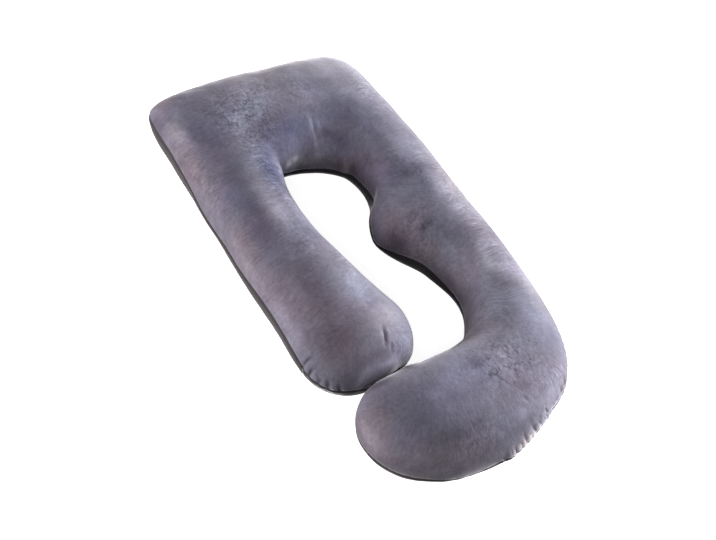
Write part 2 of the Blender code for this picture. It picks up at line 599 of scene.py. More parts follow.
CREASES = tuple(Crease(*row) for row in (
    (((-0.327, 0.347), (-0.320, 0.322), (-0.324, 0.300)), 0.0018, 0.004),
    (((0.036, 0.372), (0.028, 0.335), (0.030, 0.306)), 0.0022, 0.006),
    (((0.044, 0.360), (0.040, 0.330)), -0.0012, 0.005),
    (((-0.150, -0.262), (-0.156, -0.282), (-0.165, -0.302)), 0.0050, 0.0045),
    (((-0.149, -0.303), (-0.154, -0.318)), 0.0024, 0.0040),
    (((-0.335, -0.231), (-0.322, -0.237)), 0.0050, 0.0040, Panel.BOTH),
    (((-0.012, -0.480), (0.004, -0.486)), 0.0012, 0.004),
    (((0.046, -0.560), (0.058, -0.575)), 0.0016, 0.004),
))

LIGHT_AND_NAP_PATCHES = tuple(Patch(*row) for row in (
    # straight arm: a dark band along its crest between paler sides, partly the laid nap and partly
    # painted sheen
    ((-0.250, 0.420), (0.045, 0.100), 10.0, -0.36, 0.20),
    ((-0.275, 0.220), (0.040, 0.120), 0.0, -0.38, 0.20),
    ((-0.272, 0.090), (0.034, 0.050), 0.0, -0.35, 0.15),
    ((-0.270, -0.050), (0.050, 0.080), 0.0, -0.12, 0.05),
    ((-0.225, -0.050), (0.018, 0.080), 0.0, -0.15, 0.05),
    ((-0.250, -0.130), (0.036, 0.050), 0.0, -0.30),
    ((-0.272, -0.245), (0.052, 0.045), 0.0, -0.75, -0.12),
    ((-0.318, 0.080), (0.022, 0.120), 0.0, 0.0, -0.22),
    ((-0.220, -0.130), (0.110, 0.070), 0.0, 0.0, -0.10),
    ((-0.216, 0.140), (0.024, 0.080), 0.0, 1.00, -0.05),
    ((-0.205, 0.285), (0.022, 0.040), 0.0, 0.35),
    # painted sheen: lighter along the outer edge
    ((-0.330, 0.050), (0.010, 0.250), 0.0, 0.40),
    ((-0.325, -0.130), (0.012, 0.080), 0.0, 0.45),
    ((-0.303, 0.480), (0.022, 0.045), 0.0, 0.60, -0.25),
    ((-0.326, 0.545), (0.010, 0.036), 0.0, -0.80),
    ((-0.145, -0.120), (0.040, 0.055), 0.0, 0.55),
    ((-0.115, -0.240), (0.055, 0.038), 0.0, 0.50, -0.15),
    ((-0.170, -0.165), (0.055, 0.055), 0.0, 0.28, 0.05),
    ((-0.190, 0.000), (0.020, 0.030), -30.0, 0.30),
    # painted light along the lower edge of the arm's end
    ((-0.250, -0.339), (0.045, 0.009), 20.0, 0.70, -0.10),
    ((-0.160, -0.336), (0.060, 0.010), -3.0, 0.55),
    ((-0.200, -0.316), (0.070, 0.016), 0.0, -0.60),
    ((-0.320, 0.340), (0.022, 0.120), 0.0, 0.0, -0.20),
    ((-0.152, 0.020), (0.024, 0.030), 0.0, -0.28),
    ((-0.136, -0.052), (0.020, 0.030), 0.0, -0.32),
    ((-0.148, 0.198), (0.014, 0.030), 0.0, -0.75, 0.10),
    ((-0.085, -0.280), (0.022, 0.022), 0.0, -0.30),
    ((-0.155, 0.250), (0.028, 0.060), -12.0, -1.10, 0.60),
    ((-0.110, 0.310), (0.040, 0.024), 10.0, -0.70, 0.35),
    # head end
    ((-0.290, 0.600), (0.040, 0.030), 0.0, 0.10, -0.15),
    ((-0.225, 0.560), (0.030, 0.050), 0.0, -0.20, 0.12),
    ((-0.160, 0.415), (0.028, 0.060), 0.0, 1.20),
    ((-0.100, 0.432), (0.026, 0.030), 0.0, 0.65),
    ((-0.020, 0.510), (0.220, 0.120), 0.0, 0.12, 0.12),
    ((0.160, 0.320), (0.040, 0.090), 0.0, 0.0, 0.15),
    ((-0.100, 0.500), (0.055, 0.055), 0.0, 0.62),
    ((-0.040, 0.480), (0.036, 0.046), 0.0, 0.36),
    ((-0.080, 0.540), (0.022, 0.022), 0.0, 0.45),
    # painted shade along the far top edge, dimming its lit rim
    ((-0.150, 0.602), (0.060, 0.028), 0.0, -0.60, 0.30),
    ((0.000, 0.618), (0.090, 0.030), 0.0, -2.10, 0.25),
    ((0.100, 0.610), (0.060, 0.024), 0.0, -1.30, 0.20),
    ((0.190, 0.602), (0.070, 0.028), 0.0, -1.30, 0.20),
    ((0.280, 0.580), (0.030, 0.034), 0.0, -0.45, -0.10),
    # painted shade in the neck opening, with a painted highlight along the ridge in it
    ((-0.040, 0.354), (0.085, 0.036), 0.0, -0.80, 0.30),
    ((0.020, 0.392), (0.050, 0.030), 0.0, -0.42, 0.10),
    ((0.054, 0.326), (0.018, 0.015), 0.0, -0.70, 0.10),
    ((0.100, 0.362), (0.040, 0.044), -20.0, -1.05, 0.15),
    ((0.086, 0.292), (0.036, 0.020), -40.0, -0.80, 0.20),
    ((0.062, 0.322), (0.036, 0.014), -10.0, -0.55, -0.12),
    ((0.031, 0.345), (0.009, 0.022), 0.0, 0.75),
    ((0.006, 0.320), (0.018, 0.028), 0.0, -0.50),
    # the neck's flank: a painted highlight along its rim by the straight arm
    ((-0.015, 0.308), (0.060, 0.020), -8.0, 0.75, -0.35, 0.088, 0.030),
    ((-0.053, 0.311), (0.009, 0.012), 0.0, 1.30, 0.05, 0.094, 0.015),
    ((-0.034, 0.312), (0.011, 0.012), 0.0, 0.90, 0.05, 0.108, 0.010),
    ((0.080, 0.262), (0.050, 0.030), -30.0, -0.15, -0.25, 0.085, 0.030),
    ((0.055, 0.550), (0.012, 0.040), 0.0, 0.35),
    ((0.092, 0.545), (0.018, 0.034), 0.0, 0.45),
    ((0.070, 0.460), (0.012, 0.050), -10.0, 0.42),
    ((0.140, 0.476), (0.026, 0.022), 0.0, -0.45),
    ((0.020, 0.520), (0.018, 0.060), 0.0, -0.28),
    ((0.200, 0.425), (0.036, 0.056), 0.0, 0.78, -0.10),
    ((0.205, 0.520), (0.060, 0.034), 0.0, 0.32, 0.05),
    # long arm
    ((0.128, 0.220), (0.018, 0.050), 0.0, -0.60),
    ((0.150, 0.140), (0.030, 0.050), 0.0, 0.0, 0.15),
    ((0.215, 0.200), (0.034, 0.040), 20.0, 0.62, -0.05),
    ((0.245, 0.140), (0.022, 0.026), 0.0, 0.28),
    ((0.205, 0.106), (0.045, 0.018), 0.0, -0.90, 0.10),
    ((0.192, 0.045), (0.022, 0.040), 0.0, -0.60, 0.14),
    ((0.110, 0.060), (0.040, 0.036), 0.0, 0.30, 0.06),
    ((0.080, 0.000), (0.020, 0.050), 0.0, -0.30, -0.10),
    ((0.110, -0.095), (0.016, 0.040), 35.0, 0.10, -0.22),
    ((0.096, 0.015), (0.022, 0.026), 0.0, 0.34),
    ((0.064, -0.034), (0.012, 0.036), 30.0, -0.90, -0.20),
    ((0.130, -0.055), (0.022, 0.010), 15.0, -0.60),
    ((0.240, 0.020), (0.040, 0.030), 0.0, 0.50, -0.10),
    ((0.235, -0.050), (0.022, 0.026), 0.0, 0.70),
    ((0.286, -0.150), (0.028, 0.046), 0.0, -1.05),
    ((0.276, 0.245), (0.024, 0.060), 0.0, -0.30),
    ((0.276, -0.225), (0.022, 0.032), 0.0, -0.55),
    ((0.288, 0.060), (0.032, 0.200), 0.0, -0.25, -0.24),
    ((0.204, -0.226), (0.019, 0.034), 0.0, 1.20),
    ((0.220, -0.178), (0.026, 0.026), 0.0, 0.80),
    ((0.228, -0.260), (0.032, 0.034), 0.0, 0.65),
    ((0.284, 0.430), (0.030, 0.100), 0.0, 0.0, -0.15),
    ((0.240, -0.040), (0.040, 0.050), 0.0, 0.0, -0.12),
    # painted light on the hollow's flank
    ((0.158, -0.180), (0.036, 0.070), 12.0, 0.80, -0.05, 0.104, 0.034),
    ((0.186, -0.330), (0.030, 0.060), 20.0, 0.50, 0.05),
    ((0.262, -0.330), (0.022, 0.040), 0.0, 0.10, -0.25),
    # hook
    # painted shadow where the straight arm's end lies on the hook
    ((-0.188, -0.358), (0.072, 0.014), 0.0, -2.20),
    ((0.050, -0.385), (0.060, 0.020), 0.0, 0.75),
    ((0.010, -0.402), (0.070, 0.028), 0.0, 0.55),
    ((0.100, -0.442), (0.050, 0.028), 0.0, 0.34),
    ((-0.070, -0.456), (0.040, 0.030), 0.0, 0.58),
    ((0.000, -0.520), (0.060, 0.026), 0.0, 0.24),
    ((-0.010, -0.446), (0.034, 0.012), 0.0, -0.42),
    ((-0.040, -0.460), (0.130, 0.060), 0.0, 0.05, 0.10),
    ((0.245, -0.480), (0.050, 0.060), 30.0, -0.75, 0.15),
    ((0.180, -0.505), (0.055, 0.045), 0.0, -0.55),
    ((0.192, -0.578), (0.040, 0.014), 32.0, -1.25, -0.10),
    ((0.050, -0.460), (0.040, 0.026), 0.0, 0.36),
    ((0.125, -0.345), (0.040, 0.034), 0.0, 0.42),
    ((0.272, -0.385), (0.024, 0.050), 0.0, -0.65, -0.10),
    ((0.065, -0.545), (0.026, 0.018), -30.0, -0.50),
    ((0.036, -0.612), (0.056, 0.014), 10.0, -0.75),
    ((0.120, -0.586), (0.040, 0.014), 25.0, 0.35),
    # painted highlight along the rim of the hook's foot
    ((0.030, -0.640), (0.090, 0.011), 11.0, 1.20, -0.50, 0.120, 0.040),
    ((-0.200, -0.490), (0.050, 0.050), 0.0, -0.48, 0.05),
    ((-0.150, -0.430), (0.022, 0.020), 0.0, -0.38, 0.10),
    ((-0.240, -0.420), (0.040, 0.030), 0.0, -0.34),
    ((-0.140, -0.560), (0.070, 0.030), -10.0, -0.75),
    ((-0.100, -0.620), (0.060, 0.018), -5.0, -0.65),
    # painted highlights along the hook's rim and tip
    ((-0.222, -0.598), (0.050, 0.010), -25.0, 0.50),
    ((-0.303, -0.470), (0.010, 0.050), 0.0, 0.50),
    ((-0.200, -0.580), (0.080, 0.034), -25.0, 0.0, -0.22),
    ((-0.280, -0.445), (0.032, 0.065), 0.0, -0.15, -0.20),
))

RUFFLES = tuple(Ruffle(*row) for row in (
    # head end and neck
    ((-0.130, 0.460), (0.090, 0.100), 0.2, 1.0),
    ((-0.010, 0.530), (0.070, 0.060), 0.0, 0.7),
    ((-0.150, 0.300), (0.050, 0.080), 0.8, 0.6),
    ((-0.150, 0.180), (0.040, 0.080), 1.0, 0.2),
    ((0.060, 0.460), (0.040, 0.080), 0.3, 0.5),
    # straight arm
    ((-0.120, -0.060), (0.030, 0.080), 0.8, 0.1),
    ((-0.200, 0.020), (0.050, 0.060), 0.2, 0.4),
    ((-0.310, 0.300), (0.020, 0.200), 0.4, 0.0),
    ((-0.110, -0.320), (0.040, 0.040), 0.6, 0.0),
    # long arm
    ((0.270, 0.430), (0.060, 0.090), 1.0, 0.1),
    ((0.290, 0.120), (0.050, 0.170), 0.8, 0.0),
    ((0.270, -0.170), (0.060, 0.140), 1.0, 0.2),
    ((0.120, -0.040), (0.050, 0.050), 0.2, 0.5),
    ((0.200, 0.100), (0.040, 0.080), 0.2, 0.4),
    # hook
    ((0.140, -0.330), (0.060, 0.050), 0.4, 0.0),
    ((0.060, -0.470), (0.100, 0.060), 0.2, 1.0),
    ((0.170, -0.550), (0.070, 0.040), 0.6, 0.2),
    ((-0.100, -0.580), (0.070, 0.040), 0.5, 0.4),
))

NUDGES = tuple(Nudge(*row) for row in (
    # the end of the straight arm presses into the side of the hook
    ((-0.115, -0.335), (0.075, 0.040), (0.003, -0.007)),
    ((-0.128, -0.350), (0.026, 0.030), (0.000, 0.008)),
    # the neck opening and the hollow
    ((-0.125, 0.275), (0.036, 0.045), (0.014, -0.004)),
    ((0.130, -0.105), (0.050, 0.035), (0.004, 0.003)),
))

SEAM_RESTS = tuple(SeamRest(*row) for row in (
    # straight arm, from its tip up its outer side
    ((-0.180, -0.344), 0.016),
    ((-0.290, -0.310), 0.013),
    ((-0.333, -0.235), 0.010),
    ((-0.333, -0.150), -0.007),
    ((-0.333, -0.020), 0.000),
    ((-0.333, 0.070), 0.010),
    ((-0.333, 0.150), 0.018),
    ((-0.331, 0.240), 0.030),
    ((-0.331, 0.340), 0.006),
    ((-0.331, 0.450), -0.016),
    ((-0.330, 0.560), -0.008),
    ((-0.300, 0.628), 0.000),
    # head end and the outer side of the long arm
    ((-0.150, 0.648), 0.004),
    ((0.200, 0.644), 0.000),
    ((0.320, 0.500), -0.004),
    ((0.334, 0.000), -0.004),
    ((0.308, -0.400), -0.024),
    ((0.215, -0.570), -0.036),
    ((0.100, -0.622), -0.031),
    ((0.000, -0.645), -0.024),
    ((-0.050, -0.648), -0.010),
    ((-0.100, -0.642), 0.024),
    ((-0.190, -0.600), 0.022),
    ((-0.270, -0.530), 0.028),
    ((-0.300, -0.450), 0.040),
    ((-0.270, -0.385), 0.030),
    # back along the hollow
    ((-0.143, -0.348), 0.008),
    ((0.000, -0.357), 0.004),
    ((0.120, -0.305), 0.041),
    ((0.157, -0.225), 0.051),
    ((0.155, -0.170), 0.053),
    ((0.125, -0.125), 0.027),
    ((0.090, -0.080), 0.004),
    ((0.043, -0.011), 0.033),
    ((0.060, 0.065), 0.018),
    ((0.100, 0.120), 0.006),
    ((0.117, 0.190), 0.033),
    ((0.060, 0.275), 0.030),
    ((-0.030, 0.310), 0.046),
    ((-0.110, 0.270), 0.010),
    ((-0.102, 0.000), 0.000),
    ((-0.042, -0.213), 0.000),
    ((-0.070, -0.290), 0.006),
))

def evened(grid: np.ndarray, rounds: int) -> np.ndarray:
    """Even out values on the ring grid, round the rings and along the roll.

    Args:
        grid: The values, rings by points by anything.
        rounds: How many times each value takes half of its neighbours' mean.

    Returns:
        The evened values.
    """
    for _ in range(rounds):
        grid = grid / 2.0 + (np.roll(grid, 1, axis=1) + np.roll(grid, -1, axis=1)) / 4.0
        padded = np.concatenate([grid[:1], grid, grid[-1:]])
        grid = grid / 2.0 + (padded[:-2] + padded[2:]) / 4.0
    return grid


def trough(away: np.ndarray, width: float, lips: float, lips_width: float) -> np.ndarray:
    """The section of a fold: a trough between two low lips.

    Args:
        away: How far each point lies from the fold's line.
        width: How wide the trough is, from its middle.
        lips: How high the lips are, as a share of its depth.
        lips_width: How wide the lips are, from its middle.

    Returns:
        How deep in the fold each point lies.
    """
    return np.exp(-((away / width) ** 2)) - lips * np.exp(-((away / lips_width) ** 2))


def nearness(points: np.ndarray, at: Pair, size: Pair) -> np.ndarray:
    """How near points lie to a place in plan.

    Args:
        points: The points.
        at: The place.
        size: How far the nearness reaches each way.

    Returns:
        1 at the place, falling off round it like a bell.
    """
    return np.exp(-(((points[:, :2] - at) / size) ** 2).sum(axis=1))


@dataclass
class Roll:
    """The stuffed roll as a grid of rings that run along it, closed by one point at each end.

    The rings lie fine_step apart at the arm's end and round the hook, and coarse_step apart between.
    """

    node: str = "pillow"
    seam_height: float = 0.089
    around: int = 180
    crowding: float = 0.30
    trials: int = 140
    coarse_step: float = 0.0062
    fine_step: float = 0.0036
    last_step: float = 0.6
    fine_arm_end: float = 0.18
    fine_hook: float = 0.80
    step_ease: float = 0.10
    weld: float = 1e-5
    same_level: float = 1e-4
    same_plan: float = 2e-4
    rings: np.ndarray = field(init=False)
    tips: tuple[np.ndarray, np.ndarray] = field(init=False)

    def read(self) -> list[np.ndarray]:
        """Sort the plain solid's corners into rings, from the straight arm's end to the hook's tip.

        Each corner of the top panel has one straight below it on the underside, or lies over the
        flat that the pillow rests on.

        Returns:
            The rings, each starting at the outer seam and going over the top, with single end points.
        """
        shape = bmesh.new()
        shape.from_mesh(bpy.data.objects[self.node].data)
        bmesh.ops.remove_doubles(shape, verts=shape.verts, dist=self.weld)
        shape.verts.ensure_lookup_table()
        lowest = self.seam_height - self.same_level
        below = [vert.co.copy() for vert in shape.verts if vert.co.z < lowest]
        tree = kdtree.KDTree(len(below))
        for index, point in enumerate(below):
            tree.insert((point.x, point.y, 0.0), index)
        tree.balance()
        poles = sorted(shape.verts, key=lambda v: len(v.link_edges))[-2:]
        start = max(poles, key=lambda v: v.co.y)
        rings, last_outer = [np.array([start.co[:]])], None
        for layer in self.walked(start, lowest):
            if len(layer) == 1:
                rings.append(np.array([layer[0].co[:]]))
                continue
            on_seam = sorted(layer, key=lambda v: abs(v.co.z - self.seam_height))[:2]
            if last_outer is None:
                outer = min(on_seam, key=lambda v: v.co.x)
            else:
                outer = min(on_seam, key=lambda v: (v.co - last_outer).length)
            last_outer = outer.co.copy()
            inner = next(v for v in on_seam if v is not outer)
            over = self.across_from(layer, outer.co, inner.co)
            under = []
            for point in over[-2:0:-1]:
                _, index, away = tree.find((point.x, point.y, 0.0))
                height = below[index].z if away < self.same_plan else 0.0
                under.append(Vector((point.x, point.y, height)))
            rings.append(np.array([point[:] for point in over + under]))
        shape.free()
        return rings

    @staticmethod
    def walked(start: bmesh.types.BMVert, lowest: float) -> list[list[bmesh.types.BMVert]]:
        """Walk the top panel's corners away from one end of the roll, a ring at a time.

        Args:
            start: The corner at that end.
            lowest: The height above which a corner belongs to the top panel.

        Returns:
            The corners of each ring, the start left out.
        """
        layers, seen = [[start]], {start.index}
        while layers[-1]:
            layer = []
            for vert in layers[-1]:
                for edge in vert.link_edges:
                    other = edge.other_vert(vert)
                    if other.index not in seen and other.co.z > lowest:
                        seen.add(other.index)
                        layer.append(other)
            layers.append(layer)
        return layers[1:-1]

    @staticmethod
    def across_from(layer: list[bmesh.types.BMVert], outer: Vector, inner: Vector) -> list[Vector]:
        """Put one ring's corners in order, from the outer seam over the top to the inner seam.

        Args:
            layer: The corners.
            outer: The corner on the outer seam.
            inner: The corner on the inner seam.

        Returns:
            The corners' places in order.
        """
        middle = (outer + inner) / 2.0
        outward = (outer - inner).normalized()

        def turn(point: Vector) -> float:
            """The corner's angle over the ring's middle."""
            away = point - middle
            return math.atan2(max(away.z, 0.0), away.dot(outward))

        return sorted((vert.co.copy() for vert in layer), key=turn)

    def build(self) -> np.ndarray:
        """Refine the plain rings into the fine grid.

        Returns:
            The grid, rings by points by three, without the two end points.
        """
        rings = self.read()
        count = len(rings[1])
        full = np.array([np.repeat(r, count, axis=0) if len(r) == 1 else r for r in rings])
        half = count // 2
        # beyond each end point the rings go on as their neighbours, seen from the other side
        flip = np.roll(np.arange(count), -half)
        padded = np.concatenate([full[1:2][:, flip], full, full[-2:-1][:, flip]])
        steps = np.linalg.norm(np.diff(full, axis=0), axis=2).mean(axis=1)
        length = np.concatenate([[0.0], np.cumsum(steps)])
        total = length[-1]
        places, here = [], 0.0
        while here < total - self.fine_step * 0.5:
            here += self.step_at(here, total)
            places.append(here)
        places = np.array(places) * (total - self.fine_step * self.last_step) / places[-1]
        index = np.tile(np.interp(places, length, np.arange(len(length))), (count, 1))
        grid = self.across(padded.swapaxes(0, 1), index).swapaxes(0, 1)
        self.tips = (rings[0][0], rings[-1][0])
        wrapped = np.concatenate([grid[:, -1:], grid, grid[:, :2]], axis=1)
        over = self.spaced(wrapped, 0.0, half)
        under = self.spaced(wrapped, half, count)
        self.rings = self.across(wrapped, np.concatenate([over, under], axis=1) % count)
        self.rings[:, :, 2] = np.maximum(self.rings[:, :, 2], 0.0)
        return self.rings

    def spaced(self, wrapped: np.ndarray, start: float, end: float) -> np.ndarray:
        """Places across one panel, a little closer together near the seams.

        Args:
            wrapped: The rings, with one spare point before the first and two after the last.
            start: The plain point at which the panel starts.
            end: Where it ends.

        Returns:
            The places, one row for each ring, without the end.
        """
        count = wrapped.shape[1] - 3
        trial = np.tile(np.linspace(start, end, self.trials), (len(wrapped), 1))
        line = self.across(wrapped, trial % count)
        run = np.linalg.norm(np.diff(line, axis=1), axis=2).cumsum(axis=1)
        run = np.concatenate([np.zeros((len(run), 1)), run], axis=1)
        share = np.arange(self.around // 2) / (self.around // 2)
        eased = share - self.crowding * np.sin(2.0 * np.pi * share) / (2.0 * np.pi)
        return np.array([np.interp(eased * r[-1], r, t) for r, t in zip(run, trial)])

    @staticmethod
    def across(points: np.ndarray, place: np.ndarray) -> np.ndarray:
        """Read the Catmull-Rom curve through the points of every row, each row at its own places.

        Args:
            points: The rows, with spare points before the first and after the last.
            place: Where to read each row, 0 at its second point.

        Returns:
            The points read.
        """
        first = np.floor(place).astype(int)
        part = (place - first)[:, :, None]
        row = np.arange(len(points))[:, None]
        a, b, c, d = (points[row, first + k] for k in range(4))
        slope_b, slope_c = (c - a) / 2.0, (d - b) / 2.0
        bend = 3.0 * (c - b) - 2.0 * slope_b - slope_c
        twist = 2.0 * (b - c) + slope_b + slope_c
        return b + slope_b * part + bend * part**2 + twist * part**3

    def step_at(self, here: float, total: float) -> float:
        """How far apart the rings are at a place along the roll: finer at the arm's end and the hook.

        Args:
            here: The place.
            total: The roll's whole length.

        Returns:
            The step to the next ring.
        """
        arm_end = np.clip((here - self.fine_arm_end) / self.step_ease, 0.0, 1.0)
        hook = np.clip((total - self.fine_hook - here) / self.step_ease, 0.0, 1.0)
        return float(self.fine_step + (self.coarse_step - self.fine_step) * min(arm_end, hook))

    def flat(self, grid: np.ndarray) -> np.ndarray:
        """All points of the grid as one list, the two end points last."""
        return np.concatenate([grid.reshape(-1, 3), [self.tips[0]], [self.tips[1]]])

    def faces(self) -> list[tuple[int, ...]]:
        """The faces of the closed grid.

        Returns:
            Quads along the roll and triangles at its ends.
        """
        rows, around = self.rings.shape[:2]
        quads = []
        for row in range(rows - 1):
            low, high = row * around, (row + 1) * around
            for k in range(around):
                n = (k + 1) % around
                quads.append((low + k, low + n, high + n, high + k))
        first, last = rows * around, rows * around + 1
        top = (rows - 1) * around
        ends = [(first, (k + 1) % around, k) for k in range(around)]
        ends += [(last, top + k, top + (k + 1) % around) for k in range(around)]
        return quads + ends


@dataclass
class SeamLine:
    """The outline seam as a closed line, and every cover point's place against it."""

    points: np.ndarray
    length: float = field(init=False)
    closed: np.ndarray = field(init=False)
    marks: np.ndarray = field(init=False)
    along: np.ndarray = field(init=False)
    off: np.ndarray = field(init=False)

    def __post_init__(self) -> None:
        """Measure the line."""
        self.closed = np.concatenate([self.points, self.points[:1]])
        steps = np.linalg.norm(np.diff(self.closed, axis=0), axis=1)
        self.marks = np.concatenate([[0.0], np.cumsum(steps)])
        self.length = float(self.marks[-1])

    def measure(self, points: np.ndarray) -> None:
        """Find how far along the seam and off the seam each point is.

        Args:
            points: The cover's points.
        """
        count = len(self.points)
        tree = kdtree.KDTree(count)
        for index, point in enumerate(self.points):
            tree.insert(point, index)
        tree.balance()
        nearest = np.array([tree.find(point)[1] for point in points])
        self.along, self.off = np.zeros(len(points)), np.full(len(points), np.inf)
        for shift in (-1, 0):
            first = (nearest + shift) % count
            a, b = self.closed[first], self.closed[first + 1]
            run = b - a
            part = ((points - a) * run).sum(axis=1) / (run * run).sum(axis=1)
            part = np.clip(part, 0.0, 1.0)
            off = np.linalg.norm(points - (a + run * part[:, None]), axis=1)
            along = self.marks[first] + part * (self.marks[first + 1] - self.marks[first])
            better = off < self.off
            self.off[better], self.along[better] = off[better], along[better]

    def mark(self, plan: Pair) -> float:
        """How far along the seam the place nearest to a point in plan is."""
        return float(self.marks[int(np.argmin(np.linalg.norm(self.points[:, :2] - plan, axis=1)))])

    def past(self, mark: float) -> np.ndarray:
        """How far along every measured point lies past a mark, the short way round."""
        return (self.along - mark + self.length / 2.0) % self.length - self.length / 2.0

    def run(
        self, start: Pair, end: Pair, beyond: float, fade: float
    ) -> tuple[float, float, np.ndarray]:
        """Measure a run of the seam between two places, the short way round.

        Args:
            start: One place, in plan.
            end: The other.
            beyond: How far past its ends the run reaches.
            fade: Over what length it fades out there.

        Returns:
            The mark where the run starts, its length, and how far inside it each measured point
            lies, 0 to 1.
        """
        low, high = self.mark(start), self.mark(end)
        ahead = (high - low) % self.length
        if ahead > self.length / 2.0:
            low, ahead = high, self.length - ahead
        past = self.past((low + ahead / 2.0) % self.length)
        return low, ahead, np.clip((ahead / 2.0 + beyond - np.abs(past)) / fade, 0.0, 1.0)


@dataclass
class Settling:
    """The filling swelling the sewn cover: the cloth is let loose over it and finds its own folds.

    Only the folds are kept. The slow swelling is taken off again, so the pillow keeps its size.
    """

    pressure: float = 4.0
    frames: int = 20
    quality: int = 3
    stiffness: float = 15.0
    shear_stiffness: float = 7.5
    bending: float = 0.5
    spare_cloth: float = 0.12
    furthest: float = 0.006
    evening: int = 50
    levels: int = 20

    def settle(self, mesh: bpy.types.Mesh, slack: np.ndarray, held: np.ndarray) -> np.ndarray:
        """Run the cloth for a short while.

        Args:
            mesh: The cover before it settles.
            slack: How much spare cloth each point has, 0 to 1.
            held: Which points the seam and the floor hold.

        Returns:
            The points of the settled cloth.
        """
        trial = bpy.data.objects.new("settling", mesh.copy())
        bpy.context.collection.objects.link(trial)
        for name, weight in (("slack", slack), ("held", held.astype(float))):
            group = trial.vertex_groups.new(name=name)
            level = np.round(weight * self.levels).astype(int)
            for step in range(1, self.levels + 1):
                group.add(np.flatnonzero(level == step).tolist(), step / self.levels, "REPLACE")
        cloth = trial.modifiers.new("cloth", "CLOTH")
        values = cloth.settings
        values.quality = self.quality
        values.tension_stiffness = values.compression_stiffness = self.stiffness
        values.shear_stiffness = self.shear_stiffness
        values.bending_stiffness = self.bending
        values.use_pressure = True
        values.uniform_pressure_force = self.pressure
        values.effector_weights.gravity = 0.0
        values.vertex_group_mass = "held"
        values.vertex_group_shrink = "slack"
        values.shrink_min, values.shrink_max = 0.0, -self.spare_cloth
        cloth.collision_settings.use_collision = False
        cloth.point_cache.frame_start, cloth.point_cache.frame_end = 1, self.frames
        for frame in range(1, self.frames + 1):
            bpy.context.scene.frame_set(frame)
        settled = trial.evaluated_get(bpy.context.evaluated_depsgraph_get())
        points = np.empty(len(mesh.vertices) * 3)
        settled.data.vertices.foreach_get("co", points)
        bpy.context.scene.frame_set(1)
        bpy.data.objects.remove(trial, do_unlink=True)
        return points.reshape(-1, 3)

    def folds(self, moved: np.ndarray, rows: int) -> np.ndarray:
        """What is left of a move on the ring grid once its slow part is taken off and it is capped.

        Args:
            moved: How far each point moved, the two end points last.
            rows: How many rings there are.

        Returns:
            The moves to keep.
        """
        kept = moved.copy()
        grid = moved[:-2].reshape(rows, -1, 3)
        kept[:-2] = (grid - evened(grid, self.evening)).reshape(-1, 3)
        kept[-2:] = 0.0
        far = np.linalg.norm(kept, axis=1, keepdims=True)
        return kept * self.furthest * np.tanh(far / self.furthest) / np.maximum(far, TINY)


@dataclass(frozen=True)
class Easing:
    """How the cloth falls where it is gathered.

    Each pair is the least and most that one pucker draws: a share of its gather's spacing, depth or
    reach, or what is added to its lean.
    """

    seed: int = 11
    first: Pair = (0.2, 0.8)
    depths: Pair = (0.4, 1.2)
    reaches: Pair = (0.45, 1.4)
    widths: Pair = (0.15, 0.30)
    leans: Pair = (-0.45, 0.45)
    gaps: Pair = (0.6, 1.45)
    puff: float = 0.7
    beyond: float = 0.01
    fade: float = 0.03
    seam_hold: float = 0.004
    falloff: float = 1.6
    lips: float = 0.45
    lips_width: float = 2.2
    # The painted shade in each pinch: its width, its paler lips (painted highlight), and the depth
    # that gives full shade.
    shade_width: float = 0.7
    shade_lips: float = 0.35
    shade_lips_width: float = 2.0
    deep: float = 0.0025
    least_slack: float = 0.04
    slack_beyond: float = 0.02
    slack_fade: float = 0.04
    slack_start: float = 1.5
    slack_reach: float = 1.6


